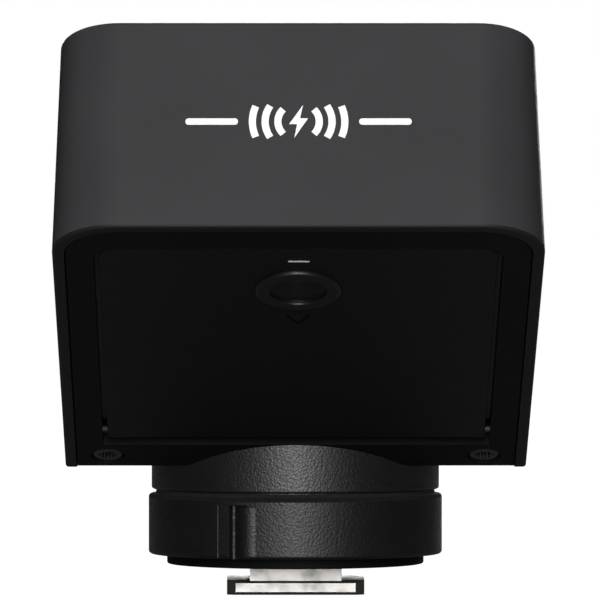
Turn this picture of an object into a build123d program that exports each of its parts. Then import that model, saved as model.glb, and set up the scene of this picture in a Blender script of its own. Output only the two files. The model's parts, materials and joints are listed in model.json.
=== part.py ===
from build123d import *
from math import cos, radians, sin, tan
import os

# Wireless flash trigger for a camera's accessory shoe. All sizes are in millimetres and degrees.
# Row frame: the origin is the centre of the shoe foot's underside, +Z runs up the shoe's axis,
# +Y points back to the photographer and the emblem faces -Y.
# Body frame: x as in the row frame, y runs down the sloping underside from its front edge,
# z runs square to that underside, up to the display.

# ---------------------------------------------------------------- driving dimensions
# body
body_width = 62.0          # across the underside rim
body_thickness = 29.0      # from the sloping underside to the display rim
body_tilt = 25.0           # slope of the display and of the underside
slope_length = 76.5        # sloping underside, from its front edge to where it turns level
level_start = 13.2         # from the shoe axis forward to the turn
side_draft = 1.64          # every outer wall leans in by this much towards the display
corner_radius = 8.3
shell_wall = 1.5
fit_gap = 0.2              # between the shell and what slides into it
rim_round = 0.45
rear_margin = 1.9          # body behind the neck

# underside frame and battery door
frame_recess = 0.12        # underside frame and door sit this far inside the shell's rim
frame_plate = 2.3
frame_flange_wall = 1.4
frame_flange_height = 8.0
turn_round = 5.0           # round where the underside turns level
door_width = 50.2
door_front = 6.9
door_rear = 66.9
door_thickness = 1.8
door_corner = 2.2
door_side_gap = 0.7
door_front_gap = 0.15
door_slide_gap = 2.3       # room behind the door for its opening slide
door_travel = 1.8
door_edge_round = 0.3
hinge_pin_radius = 0.5
hinge_pin_length = 3.6
hinge_barrel_radius = 1.1
hinge_barrel_length = 2.3
hinge_inset = 0.75         # hinge axis in front of the door's rear edge
running_clearance = 0.05
grip_radius = 5.5          # thumb grip
grip_height = 0.6
grip_dish_radius = 3.7
grip_well = 0.7            # the dish's straight side
grip_dish_depth = 0.7      # below that side
grip_centre = 18.9
arrow_front = 27.2
arrow_length = 2.4
arrow_half_width = 1.4
arrow_line = 0.32
engrave_depth = 0.25

# batteries and their tray
cell_radius = 7.25
cell_length = 49.5
cell_nub_radius = 2.75
cell_nub_length = 1.0
cell_spacing = 0.5         # between neighbouring cells
cell_count = 3
cell_end_room = 3.0        # for the contact springs
cell_play = 0.25
tray_wall = 1.2
contact_sheet = 0.4
spring_wire = 0.7

# control panel on the display side
panel_recess = 0.3
panel_thickness = 2.2
window_width = 52.0
window_height = 46.0
window_front = 5.2
window_thickness = 1.2
window_corner = 2.5
window_gap = 0.08
window_ledge = 1.8
module_thickness = 2.6
seal_thickness = 0.5
dial_centre = 76.0
dial_radius = 15.0
dial_height = 2.4
dial_lift = 0.25           # dial above the panel
dial_bore = 7.5
dial_hub_wall = 2.2
dial_grip_depth = 0.9
dial_grip_ribs = 48
centre_gap = 0.3
button_spread = 43.0       # between the left and right buttons' centres
button_rows = (61.5, 90.0)
button_length = 10.0
button_width = 6.6
button_gap = 0.15
button_rise = 0.8
button_travel = 0.6
button_flange = 0.8
switch_side = 4.5

# main board and what hangs on it
buzzer_radius = 4.5
buzzer_height = 2.4
light_radius = 1.4
light_place = 55.6         # body y of the status light
board_thickness = 1.2
board_side_gap = 4.0       # from the rim to the board's edge
board_front = 5.0
board_behind_turn = 22.5   # board behind the place where the underside turns level
board_top = 21.7           # body z

# shoe: foot, locking ring and neck
foot_width = 18.6
foot_length = 18.0
foot_plate = 2.0
foot_stem_width = 12.4
foot_screw_head = 1.5
foot_screw_core = 0.75
insulator_width = 6.4
foot_stem_length = 17.4
rail_gap = 1.9             # between the foot plate and the clamp disc when it is loose
clamp_radius = 17.5
clamp_thickness = 2.7
clamp_travel = 0.4
ring_radius = 20.0
ring_bottom = 5.25
ring_height = 8.25
ring_edge = 0.5
scoop_count = 3
scoop_angle = -22.6        # first scoop, seen from above, from the front towards the left
scoop_wall = 1.43          # steep wall's distance from the scoop's middle
scoop_depth = 0.95
scoop_round = 0.4
bead_place = 1.2           # the bead's crest, on the scoop's other side
bead_radius = 2.5
bead_rise = 0.15           # how far it stands out of the ring
neck_groove = 0.6
neck_groove_radius = 19.0
neck_radius = 19.6
neck_height = 3.4
spigot_radius = 17.0
spigot_bottom = 8.0
neck_bore = 9.0
retainer_thickness = 0.8
retainer_radius = 17.6
contact_rise = 0.3         # contacts stand this far out of the foot
lock_pin_radius = 1.0
lock_pin_back = -6.4       # y of the locking pin
lock_pin_travel = 1.2

# sockets on the left side and their rubber cover
cover_thickness = 0.8
cover_gap = 0.12
cover_front = 76.5
cover_rear = 98.0
cover_low = 13.3
cover_high = 22.4
socket_recess = 1.6        # the sockets' mouths behind the underside rim's width
usb_place = 83.0           # body y
usb_width = 8.94
usb_height = 3.26
usb_depth = 7.3
jack_place = 94.0          # body y
jack_drop = 3.4            # jack's axis below the board
jack_bore = 1.8
jack_depth = 11.0
jack_collar = 3.0

# fasteners
case_screw_spread = 50.4
case_screw_place = 73.0    # body y
case_screw_head = 2.15
case_post_radius = 2.2
case_screw_core = 0.85
board_post_offset = 1.05   # board screws beside the tray's wall
board_screw_rows = (8.0, 54.0)
board_post_radius = 1.7
board_screw_core = 0.75

# ---------------------------------------------------------------- derived places
slope, rise = cos(radians(body_tilt)), sin(radians(body_tilt))
lean = tan(radians(side_draft))
ring_top = ring_bottom + ring_height
neck_bottom = ring_top + neck_groove
level_z = neck_bottom + neck_height
front_y = -level_start - slope_length * slope
front_z = level_z + slope_length * rise
rear_y = neck_radius + rear_margin
body_frame = Plane(origin=(0, front_y, front_z), x_dir=(1, 0, 0), z_dir=(0, rise, slope))

inner_inset = shell_wall + fit_gap
frame_inner = frame_recess + frame_plate
frame_level = level_z + frame_recess
door_inner = frame_recess + door_thickness
hinge_y = door_rear - hinge_inset
hinge_z = (frame_recess + door_inner) / 2 + 0.1
opening_front = door_front - door_front_gap
opening_rear = door_rear + door_slide_gap
opening_half = door_width / 2 + door_side_gap

cell_pitch = 2 * cell_radius + cell_spacing
cell_z = frame_inner + cell_play + cell_radius
tray_inner_half = (cell_count * cell_pitch) / 2 + cell_play
tray_front = opening_front + 0.8 + tray_wall
tray_length = cell_length + cell_nub_length + cell_end_room + 2 * contact_sheet + 1.3
tray_rear = tray_front + tray_length
tray_ceiling = cell_z + cell_radius + cell_play
cell_xs = [(i - (cell_count - 1) / 2) * cell_pitch for i in range(cell_count)]

panel_top = body_thickness - panel_recess
panel_under = panel_top - panel_thickness
window_centre = window_front + window_height / 2
module_top = panel_under - seal_thickness
board_under = board_top - board_thickness
board_width = body_width - 2 * board_side_gap
board_rear = slope_length + board_behind_turn
board_screw_half = tray_inner_half + tray_wall + board_post_offset
dial_under = panel_top + dial_lift
dial_top = dial_under + dial_height
hub_outer = dial_bore + dial_hub_wall
encoder_top = board_top + 1.8
switch_top = 23.5
button_xs = (-button_spread / 2, button_spread / 2)
clamp_bottom = foot_plate + rail_gap


# ---------------------------------------------------------------- helpers
def tilted(shape):
    """A shape drawn in the body frame, moved to the row frame."""
    return body_frame.location * shape


def slab(width, length, low, high, y_centre, x_centre=0.0, corner=0.0):
    """A plate in the body frame, with rounded corners if corner is given."""
    outline = RectangleRounded(width, length, corner) if corner else Rectangle(width, length)
    return Pos(x_centre, y_centre, low) * extrude(outline, high - low)


def disc(radius, low, high, x=0.0, y=0.0):
    """An upright cylinder from low to high."""
    return Pos(x, y, (low + high) / 2) * Cylinder(radius, high - low)


def tube(outer, inner, low, high, x=0.0, y=0.0):
    return disc(outer, low, high, x, y) - disc(inner, low - 1, high + 1, x, y)


def side_rod(radius, low, high, y, z):
    """A cylinder along X from low to high."""
    return Pos((low + high) / 2, y, z) * Rot(0, 90, 0) * Cylinder(radius, high - low)


def body_block(inset, low, high, floor):
    """The body's outer form, inset on every wall, from low to high in the body frame.

    It stops at the vertical rear face and at the level floor.
    """
    shift = inset + low * lean
    half = body_width / 2 - shift
    radius = corner_radius - inset
    reach = slope_length + 3 * neck_radius
    outline = Pos(0, shift + reach / 2) * Rectangle(2 * half, reach)
    front_corners = outline.vertices().group_by(Axis.Y)[0]
    outline = fillet(front_corners, radius)
    block = tilted(Pos(0, 0, low) * extrude(outline, high - low, taper=side_draft))
    rear = rear_y - inset
    keep = Pos(0, rear - 150, floor + 75) * Box(200, 300, 150)
    block = block & keep
    rear_face = block.faces().sort_by(Axis.Y)[-1]
    uprights = rear_face.edges().filter_by(lambda e: abs(e.tangent_at(0.5).X) < 0.5)
    return fillet(uprights, radius)


def turn_edges(shape, floor):
    """The edge across the width where the sloping underside turns level."""
    return shape.edges().filter_by(Axis.X).filter_by(
        lambda e: abs(e.center().Z - floor) < 0.01 and e.length > body_width / 2
        and e.center().Y < 0
    )


def pan_screw(head_radius, head_height, shank_radius, length, socket_radius, socket_depth):
    """A pan-head screw pointing down, its head's top at z = 0, with a six-lobed socket."""
    head = disc(head_radius, -head_height, 0)
    head = fillet(head.edges().sort_by(Axis.Z)[-1], head_height * 0.35)
    shank = disc(shank_radius, -head_height - length, -head_height)
    socket = disc(socket_radius * 0.72, -socket_depth, 1)
    for i in range(6):
        lobe = disc(socket_radius * 0.3, -socket_depth, 1, socket_radius * 0.7)
        socket += Rot(0, 0, 60 * i) * lobe
    return head + shank - socket


def coil(wire, radius, low, high, turns):
    """A cylindrical coil spring from low to high."""
    run = high - low - wire
    path = Helix(pitch=run / turns, height=run, radius=radius)
    start = Plane(path @ 0, z_dir=path % 0)
    wound = sweep(start * Circle(wire / 2), path, is_frenet=True)
    return Pos(0, 0, low + wire / 2) * wound


# ---------------------------------------------------------------- body shell and frame
def outer_shell():
    block = body_block(0, 0, body_thickness, level_z)
    top_face = block.faces().sort_by(Axis.Z)[-1]
    under_faces = block.faces().filter_by(lambda f: f.normal_at().Z < -0.8)
    turn = turn_edges(block, level_z)
    rim = top_face.edges() + under_faces.edges().filter_by(lambda e: e not in turn)
    block = fillet(rim, rim_round)
    hollow = body_block(shell_wall, -3, body_thickness + 3, level_z - 6)
    shell = block - hollow
    shell -= cover_region(cover_thickness + cover_gap, cover_gap)
    shell -= tilted(socket_cuts())
    return shell


def cover_region(depth, gap):
    """The left wall's outer layer where the socket cover lies, grown by gap at its edges."""
    layer = body_block(0, 0, body_thickness, level_z) - body_block(depth, -3, body_thickness + 3, 0)
    outline = Rectangle(cover_rear - cover_front + 2 * gap, cover_high - cover_low + 2 * gap)
    outline = fillet(outline.vertices(), 2.0 + gap)
    middle_y, middle_z = (cover_front + cover_rear) / 2, (cover_low + cover_high) / 2
    block = Pos(-body_width / 2 - 2, middle_y, middle_z) * Rot(0, 90, 0) * Rot(0, 0, 90) * extrude(
        outline, 5)
    return layer & tilted(block)


def port_cover():
    cover = cover_region(cover_thickness, 0)
    pull = side_rod(1.6, -body_width / 2 - 2, -body_width / 2 + 0.75, cover_rear,
                    (cover_low + cover_high) / 2)
    return cover - tilted(pull)


def socket_cuts():
    """Openings through the left wall for the two sockets."""
    outside, inside = -body_width / 2 - 2, -body_width / 2 + 6
    return usb_opening(outside, inside, 0.25) + side_rod(jack_collar + 0.1, outside, inside,
                                                         jack_place, jack_axis())


def frame_envelope():
    """The underside frame's outer form, as a full solid."""
    envelope = body_block(inner_inset, frame_recess, body_thickness, frame_level)
    return fillet(turn_edges(envelope, frame_level), turn_round)


def frame_hollow():
    """The space inside the underside frame."""
    floor = frame_level + frame_plate
    hollow = body_block(inner_inset + frame_flange_wall, frame_inner, body_thickness, floor)
    return fillet(turn_edges(hollow, floor), turn_round - frame_plate)


def case_screw_places():
    return [(-case_screw_spread / 2, case_screw_place), (case_screw_spread / 2, case_screw_place)]


def neck_screw_places():
    return [(x, y) for x in (-12.5, 12.5) for y in (-2.0, 9.5)]


def lower_frame():
    frame = frame_envelope() - frame_hollow()
    floor = frame_level + frame_plate
    above_slope = slab(2 * body_width, 2 * slope_length, frame_inner + frame_flange_height,
                       2 * body_thickness, slope_length)
    above_level = Pos(0, front_y + slope_length, floor + frame_flange_height + 75) * Box(
        2 * body_width, 3 * slope_length, 150)
    frame -= tilted(above_slope) & above_level
    opening = slab(2 * opening_half, opening_rear - opening_front, -5, frame_inner + 1,
                   (opening_front + opening_rear) / 2)
    opening = fillet(opening.edges().filter_by(Axis.Z).group_by(Axis.Y)[0],
                     door_corner + door_side_gap)
    frame -= tilted(opening)
    slot_length = door_travel + 2 * (hinge_pin_radius + running_clearance)
    for side in (-1, 1):
        reach = hinge_pin_reach() + 0.15
        slot = Box(reach, slot_length, 2 * (hinge_pin_radius + running_clearance))
        frame -= tilted(Pos(side * (opening_half + reach / 2 - 0.01),
                            hinge_y + door_travel / 2, hinge_z) * slot)
    for x, y in case_screw_places():
        frame -= tilted(disc(case_screw_head + 0.15, -3, frame_recess + 1.4, x, y))
        frame -= tilted(disc(1.15, -3, frame_inner + 4, x, y))
    for x, y in neck_screw_places():
        frame -= disc(1.15, level_z - 5, floor + 5, x, y)
    frame -= Pos(0, 3, level_z) * Box(11, 5, 20)
    notch = slab(8, cover_rear - cover_front + 1, cover_low, body_thickness,
                 (cover_front + cover_rear) / 2, -body_width / 2 + 2)
    return frame - tilted(notch)


# ---------------------------------------------------------------- battery door
def hinge_pin_reach():
    """How far a hinge pin runs into the frame beyond the door opening."""
    return hinge_pin_length - hinge_barrel_length - door_side_gap


def battery_door():
    length = door_rear - door_front
    door = slab(door_width, length, frame_recess, door_inner, (door_front + door_rear) / 2)
    front_corners = door.edges().filter_by(Axis.Z).group_by(Axis.Y)[0]
    door = fillet(front_corners, door_corner)
    outside = door.faces().sort_by(Axis.Z)[0]
    door = fillet(outside.edges(), door_edge_round)
    for side in (-1, 1):
        outer = side * door_width / 2
        inner = side * (door_width / 2 - hinge_barrel_length)
        low, high = min(outer, inner), max(outer, inner)
        door += side_rod(hinge_barrel_radius, low, high, hinge_y, hinge_z)
        door -= side_rod(hinge_pin_radius + running_clearance, low - 0.2, high + 0.2,
                         hinge_y, hinge_z)
    rib = slab(door_width - 14, 1.0, door_inner - 0.2, door_inner + 0.35, grip_centre + 8)
    for place in (0, 26):
        door += Pos(0, place, 0) * rib
    door -= disc(grip_radius - 0.8, -5, 5, 0, grip_centre)
    door -= arrow_mark()
    return tilted(door)


def arrow_mark():
    """A shallow chevron that points to the hinge."""
    tip = (0, arrow_front + arrow_length)
    left = (-arrow_half_width, arrow_front)
    right = (arrow_half_width, arrow_front)
    line = Polyline(left, tip, right)
    stroke = offset(line, arrow_line / 2, kind=Kind.INTERSECTION, side=Side.BOTH)
    return Pos(0, 0, frame_recess - 0.5) * extrude(make_face(stroke.edges()), 0.5 + engrave_depth)


def thumb_grip():
    """A round grip: a raised rim with a dished middle, pressed through the door."""
    crest = frame_recess - grip_height
    rim = disc(grip_radius, crest, frame_recess)
    rim = fillet(rim.edges().sort_by(Axis.Z)[0], grip_height * 0.75)
    plug = disc(grip_radius - 0.8, frame_recess - 0.1, door_inner)
    ball_radius = (grip_dish_radius**2 + grip_dish_depth**2) / (2 * grip_dish_depth)
    ball = Pos(0, 0, crest + grip_well + grip_dish_depth - ball_radius) * Sphere(ball_radius)
    dish = disc(grip_dish_radius, crest - 1, crest + grip_well + grip_dish_depth) & ball
    dish += disc(grip_dish_radius, crest - 1, crest + grip_well)
    grip = rim + plug - dish
    lip = grip.edges().filter_by(GeomType.CIRCLE)
    lip = lip.filter_by(lambda e: abs(e.radius - grip_dish_radius) < 0.01).sort_by(Axis.Z)[0]
    return tilted(Pos(0, grip_centre, 0) * fillet(lip, grip_well * 0.4))


def door_hinge_pins():
    start = door_width / 2 - hinge_barrel_length
    pins = [side_rod(hinge_pin_radius, start, start + hinge_pin_length, hinge_y, hinge_z),
            side_rod(hinge_pin_radius, -start - hinge_pin_length, -start, hinge_y, hinge_z)]
    return tilted(Compound(children=pins))


# ---------------------------------------------------------------- batteries
def battery_tray():
    outer_half = tray_inner_half + tray_wall
    middle = (tray_front + tray_rear) / 2
    box = slab(2 * outer_half, tray_length + 2 * tray_wall, frame_inner,
               tray_ceiling + tray_wall, middle)
    flange = slab(2 * outer_half + 6, tray_length + 2 * tray_wall, frame_inner,
                  frame_inner + tray_wall, middle)
    tray = box + flange
    for x, y in board_screw_places():
        tray += disc(board_post_radius, frame_inner, board_under, x, y)
    tray -= slab(2 * tray_inner_half, tray_length, frame_inner - 1, tray_ceiling, middle)
    for x in cell_xs[:-1]:
        web_x = x + cell_pitch / 2
        web = slab(0.8, tray_length - 8, tray_ceiling - 4.5, tray_ceiling + 0.1, middle, web_x)
        for centre in (x, x + cell_pitch):
            web -= long_rod(cell_radius + cell_play / 2, tray_front, tray_rear, centre, cell_z)
        tray += web
    for x, y in board_screw_places():
        tray -= disc(board_screw_core + 0.05, board_under - 5, board_under + 1, x, y)
    return tilted(tray)


def long_rod(radius, low, high, x, z):
    """A cylinder along the body frame's Y from low to high."""
    return Pos(x, (low + high) / 2, z) * Rot(90, 0, 0) * Cylinder(radius, high - low)


def cell_forward(index):
    """Cells lie head to tail: true where the nub points to the front."""
    return index % 2 == 0


def battery_cell(index):
    x = cell_xs[index]
    nub_room = contact_sheet + 0.65
    spring_room = tray_length - nub_room - cell_length - cell_nub_length
    if cell_forward(index):
        start = tray_front + nub_room + cell_nub_length
        nub = long_rod(cell_nub_radius, start - cell_nub_length, start + 0.1, x, cell_z)
    else:
        start = tray_front + spring_room
        end = start + cell_length
        nub = long_rod(cell_nub_radius, end - 0.1, end + cell_nub_length, x, cell_z)
    can = long_rod(cell_radius, start, start + cell_length, x, cell_z)
    can = fillet(can.edges(), 0.6)
    return tilted(can + nub)


def contact_plates():
    """Sheet contacts at both ends of the tray, each with a raised nub or a spring's seat."""
    sheets = []
    for index, x in enumerate(cell_xs):
        for at_front in (True, False):
            y = tray_front if at_front else tray_rear - contact_sheet
            sheet = Pos(x, y + contact_sheet / 2, cell_z) * Box(cell_pitch - 2, contact_sheet, 11)
            if at_front == cell_forward(index):
                low = y + contact_sheet if at_front else y - 0.6
                sheet += long_rod(2.0, low - 0.05, low + 0.65, x, cell_z)
            sheets.append(sheet)
    return tilted(Compound(children=sheets))


def contact_springs():
    springs = []
    nub_room = contact_sheet + 0.65
    room = tray_length - nub_room - cell_length - cell_nub_length - contact_sheet
    wound = coil(spring_wire, 3.6, 0.05, room - 0.1, 3)
    for index, x in enumerate(cell_xs):
        if cell_forward(index):
            springs.append(Pos(x, tray_rear - contact_sheet, cell_z) * Rot(90, 0, 0) * wound)
        else:
            springs.append(Pos(x, tray_front + contact_sheet, cell_z) * Rot(-90, 0, 0) * wound)
    return tilted(Compound(children=springs))


# ---------------------------------------------------------------- control panel and display
def control_panel():
    panel = body_block(inner_inset, 0, body_thickness, level_z)
    panel &= tilted(slab(2 * body_width, 3 * slope_length, panel_under, panel_top, slope_length))
    recess = slab(window_width + 2 * window_gap, window_height + 2 * window_gap,
                  panel_top - window_thickness, panel_top + 2, window_centre, 0,
                  window_corner + window_gap)
    view = slab(window_width - 2 * window_ledge, window_height - 2 * window_ledge,
                panel_under - 1, panel_top, window_centre, 0, 1.0)
    cuts = [recess, view, disc(hub_outer + 0.5, panel_under - 1, panel_top + 1, 0, dial_centre),
            disc(light_radius + 0.05, panel_under - 1, panel_top + 1, 0, light_place)]
    for x in button_xs:
        for y in button_rows:
            cuts.append(slab(button_length + 2 * button_gap, button_width + 2 * button_gap,
                             panel_under - 1, panel_top + 1, y, x,
                             button_width / 2 + button_gap - 0.01))
    for cut in cuts:
        panel -= tilted(cut)
    room = frame_hollow()
    for x, y in case_screw_places():
        post = tube(case_post_radius, case_screw_core + 0.05, 0, panel_under, x, y)
        panel += tilted(post) & room
    return panel


def display_window():
    window = slab(window_width, window_height, panel_top - window_thickness, panel_top,
                  window_centre, 0, window_corner)
    window = chamfer(window.faces().sort_by(Axis.Z)[-1].edges(), 0.2)
    return tilted(window)


def display_seal():
    outer = slab(window_width - 0.4, window_height - 0.4, module_top, panel_under, window_centre)
    inner = slab(window_width - 2 * window_ledge + 1, window_height - 2 * window_ledge + 1,
                 module_top - 1, panel_under + 1, window_centre)
    return tilted(outer - inner)


def display_module():
    module = slab(window_width - 0.4, window_height - 0.4, module_top - module_thickness,
                  module_top, window_centre)
    bezel = slab(window_width - 2 * window_ledge + 1, window_height - 2 * window_ledge + 1,
                 module_top - 0.15, module_top + 1, window_centre)
    return tilted(module - bezel)


def button(x, y, width, length, corner):
    """A push button with a flange under the panel and a stem over its switch."""
    cap = slab(length, width, panel_under - 0.25, panel_top + button_rise, y, x, corner)
    cap = fillet(cap.faces().sort_by(Axis.Z)[-1].edges(), 0.45)
    flange = slab(length + 2 * button_flange, width + 2 * button_flange,
                  panel_under - 0.9, panel_under - 0.2, y, x, corner)
    stem = disc(1.5, switch_top + button_travel + 0.1, panel_under - 0.8, x, y)
    return tilted(cap + flange + stem)


def panel_button(x, y):
    return button(x, y, button_width, button_length, button_width / 2 - 0.01)


def dial_wheel():
    """The turning dial: a dished ring with a hub that runs on the encoder's sleeve."""
    outer = dial_radius - dial_grip_depth
    ring = tube(outer, dial_bore, dial_under, dial_top)
    crown = 60.0
    dish = Pos(0, 0, dial_top + crown - 0.45) * Sphere(crown)
    ring -= dish
    ring = fillet(ring.edges().filter_by(GeomType.CIRCLE).group_by(Axis.Z)[-1], 0.3)
    hub = tube(hub_outer, dial_bore, encoder_top + 0.3, dial_under + 0.1)
    for i in range(24):
        notch = disc(0.35, dial_top - 0.75, dial_top + 1, outer - 1.6)
        ring -= Rot(0, 0, 15 * i) * notch
    return tilted(Pos(0, dial_centre, 0) * (ring + hub))


def dial_grip():
    """The ribbed tyre round the dial."""
    inner = dial_radius - dial_grip_depth
    grip = tube(dial_radius, inner, dial_under, dial_top)
    grip = fillet(grip.edges().filter_by(
        lambda e: e.geom_type == GeomType.CIRCLE and e.radius > inner + 0.1), 0.3)
    for i in range(dial_grip_ribs):
        groove = disc(0.45, dial_under - 1, dial_top + 1, dial_radius + 0.15)
        grip -= Rot(0, 0, 360 / dial_grip_ribs * i) * groove
    return tilted(Pos(0, dial_centre, 0) * grip)


def centre_button():
    radius = dial_bore - centre_gap
    cap = disc(radius, panel_under + 1.8, dial_top - 0.1, 0, dial_centre)
    cap = fillet(cap.edges().sort_by(Axis.Z)[-1], 0.5)
    stem = disc(2.0, switch_top + button_travel + 0.1, panel_under + 1.9, 0, dial_centre)
    return tilted(cap + stem)


def encoder_base():
    """The encoder's ring on the board, with the sleeve that the dial's hub runs on."""
    base = tube(hub_outer + 1.6, 4.2, board_top, encoder_top, 0, dial_centre)
    sleeve = tube(dial_bore - running_clearance, dial_bore - 1.2, encoder_top - 0.1,
                  panel_under + 0.9, 0, dial_centre)
    return tilted(base + sleeve)


def button_switches():
    places = [(x, y) for x in button_xs for y in button_rows] + [(0, dial_centre)]
    switches = []
    for x, y in places:
        body = slab(switch_side, switch_side, board_top, switch_top - 0.4, y, x)
        switches.append(body + disc(1.1, switch_top - 0.5, switch_top, x, y))
    return tilted(Compound(children=switches))


# ---------------------------------------------------------------- boards and sockets
def board_screw_places():
    return [(x, y) for x in (-board_screw_half, board_screw_half) for y in board_screw_rows]


def main_board():
    board = slab(board_width, board_rear - board_front, board_under, board_top,
                 (board_front + board_rear) / 2, 0, 3.0)
    for x, y in case_screw_places():
        board -= disc(case_post_radius + 0.4, board_under - 1, board_top + 1, x, y)
    for x, y in board_screw_places():
        board -= disc(board_screw_core + 0.2, board_under - 1, board_top + 1, x, y)
    return tilted(board)


def radio_module():
    """The radio's screening can, on the board's underside behind the batteries."""
    can = slab(16, 12, board_under - 2.2, board_under, 80, 14)
    can = fillet(can.edges().filter_by(Axis.Z), 0.8)
    return tilted(can)


def antenna():
    """A bent strip antenna on the board, under the front of the display rim."""
    strip = slab(30, 1.0, board_top, board_top + 1.2, board_front + 1.2, 0)
    leg = slab(1.4, 2.4, board_top, board_top + 1.2, board_front + 1.9, -13)
    return tilted(strip + leg)


def board_chips():
    """The chips on the board's upper side: width, length, height, x and y of each."""
    chips = [(12, 12, 1.1, 0, 22), (8, 6, 1.0, 15, 18), (5, 5, 0.9, -14, 20),
             (7, 4.4, 1.0, -12, 40), (4, 4, 0.9, 12, 38), (3.2, 2.5, 0.8, 2, 42)]
    return tilted(Compound(children=[slab(width, length, board_top, board_top + height, y, x)
                                     for width, length, height, x, y in chips]))


def buzzer():
    body = disc(buzzer_radius, board_under - buzzer_height, board_under, 9, 93.5)
    body = fillet(body.edges().sort_by(Axis.Z)[0], 0.4)
    return tilted(body - disc(0.8, board_under - buzzer_height - 1, board_under - 1, 9, 93.5))


def display_ribbon():
    """The flat cable that folds from the display module's rear end down to the board."""
    start = window_front + window_height - 0.2
    low, high = board_top, module_top - 1.0
    fold = make_face(Polyline((start, high), (start + 1.6, high), (start + 1.6, low + 0.2),
                              (start - 1.5, low + 0.2), (start - 1.5, low), (start + 1.8, low),
                              (start + 1.8, high + 0.2), (start, high + 0.2), (start, high)))
    strip = Rot(0, 0, 90) * Rot(90, 0, 0) * extrude(fold, 9, both=True)
    return tilted(strip)


def status_light():
    """A clear light pipe from a lamp on the board to the panel's face."""
    lamp = slab(2.0, 1.6, board_top, board_top + 0.7, light_place)
    pipe = disc(light_radius, board_top + 0.7, panel_top + 0.15, 0, light_place)
    flange = disc(light_radius + 0.8, panel_under - 0.8, panel_under, 0, light_place)
    return tilted(lamp + pipe + flange)


def jack_axis():
    """Body z of the sync jack's axis."""
    return board_under - jack_drop


def usb_opening(low, high, gap):
    """The socket's rounded outline, grown by gap, along X from low to high."""
    outline = RectangleRounded(usb_width + 2 * gap, usb_height + 2 * gap, usb_height / 2 + gap - 0.02)
    middle = board_under - usb_height / 2 - 0.3
    return Pos(low, usb_place, middle) * Rot(0, 90, 0) * Rot(0, 0, 90) * extrude(outline, high - low)


def usb_socket():
    outer = -body_width / 2 + socket_recess
    socket = usb_opening(outer, outer + usb_depth, 0)
    mouth = usb_opening(outer - 1, outer + usb_depth - 1.0, -0.3)
    middle = board_under - usb_height / 2 - 0.3
    tongue = Pos(outer + usb_depth / 2 + 0.6, usb_place, middle) * Box(usb_depth - 1.4, 6.7, 0.7)
    legs = slab(1.2, 7.0, middle + usb_height / 2 - 0.05, board_under, usb_place, outer + 4.5)
    return tilted(socket - mouth + tongue + legs)


def sync_jack():
    outer = -body_width / 2 + socket_recess
    collar = side_rod(jack_collar, outer, outer + 1.4, jack_place, jack_axis())
    body = Pos(outer + 1.3 + jack_depth / 2, jack_place, jack_axis())
    jack = collar + body * Box(jack_depth, 2 * jack_collar, 2 * jack_drop)
    jack -= side_rod(jack_bore, outer - 1, outer + jack_depth, jack_place, jack_axis())
    return tilted(jack)


def shoe_flex():
    """The flat cable from the shoe's contacts up to the board."""
    y = 3.0
    body_y = (y - front_y - board_under * rise) / slope
    top = front_z - body_y * rise + board_under * slope
    low = 5.4
    return Pos(0, y, (low + top) / 2 - 0.15) * Box(5.6, 0.3, top - low - 0.3)


# ---------------------------------------------------------------- shoe
def shoe_neck():
    neck = disc(neck_radius, neck_bottom, level_z + 8)
    neck = fillet(neck.edges().sort_by(Axis.Z)[0], 0.35)
    neck -= frame_envelope()
    neck += disc(neck_groove_radius, ring_top, neck_bottom + 0.1)
    neck += disc(spigot_radius, spigot_bottom, ring_top + 0.1)
    neck -= disc(neck_bore, spigot_bottom + 2.5, level_z + 20)
    neck -= Pos(0, 3, spigot_bottom) * Box(11, 2.4, 20)
    neck -= disc(2.4, spigot_bottom - 1, spigot_bottom + 1.6, 0, lock_pin_back)
    for x, y in neck_screw_places():
        neck -= disc(0.95, level_z - 5.5, level_z + 8, x, y)
    for x, y in foot_screw_places():
        neck -= disc(foot_screw_core, spigot_bottom - 1, spigot_bottom + 2.2, x, y)
    return neck


def lock_ring():
    ring = disc(ring_radius, ring_bottom, ring_top)
    ring = fillet(ring.edges().filter_by(GeomType.CIRCLE), ring_edge)
    pad_top = ring_top - 2 * ring_edge
    for i in range(scoop_count):
        turn = Rot(0, 0, scoop_angle + 360 / scoop_count * i)
        ring -= turn * scoop(pad_top)
        ring += turn * bead(pad_top)
        ring -= turn * Rot(0, 0, -9) * disc(0.18, ring_bottom, pad_top, 0, -ring_radius)
    ring -= disc(spigot_radius + running_clearance, ring_bottom - 1, ring_top + 1)
    ring -= disc(retainer_radius + 0.3, ring_bottom - 1, spigot_bottom + 0.05)
    return ring


def scoop(top):
    """A finger scoop at the ring's front, open below, with a steep wall on its left."""
    face = -ring_radius
    floor = face + scoop_depth
    foot = -scoop_wall + 0.1
    wall = Line((-scoop_wall, face - 1), (foot, floor - scoop_round))
    corner = ThreePointArc(wall @ 1, (foot + 0.3 * scoop_round, floor - 0.3 * scoop_round),
                           (foot + scoop_round, floor))
    rest = Polyline(corner @ 1, (bead_place, floor), (bead_place, face - 1), wall @ 0)
    outline = make_face(wall + corner + rest)
    return Pos(0, 0, ring_bottom - 1) * extrude(outline, top - ring_bottom + 1)


def bead(top):
    """A broad upright bead that rolls out of the scoop and stands a little proud of the ring."""
    middle = -ring_radius - bead_rise + bead_radius
    post = disc(bead_radius, ring_bottom, top, bead_place, middle)
    return fillet(post.edges().filter_by(GeomType.CIRCLE), ring_edge)


def ring_retainer():
    """The washer under the neck that holds the ring on."""
    washer = disc(retainer_radius, spigot_bottom - retainer_thickness, spigot_bottom)
    washer -= disc(2.4, 0, 20, 0, lock_pin_back)
    washer -= Pos(0, 3, spigot_bottom) * Box(11, 2.4, 20)
    for x, y in foot_screw_places():
        washer -= disc(foot_screw_core + 0.1, 0, 20, x, y)
    return washer


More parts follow.
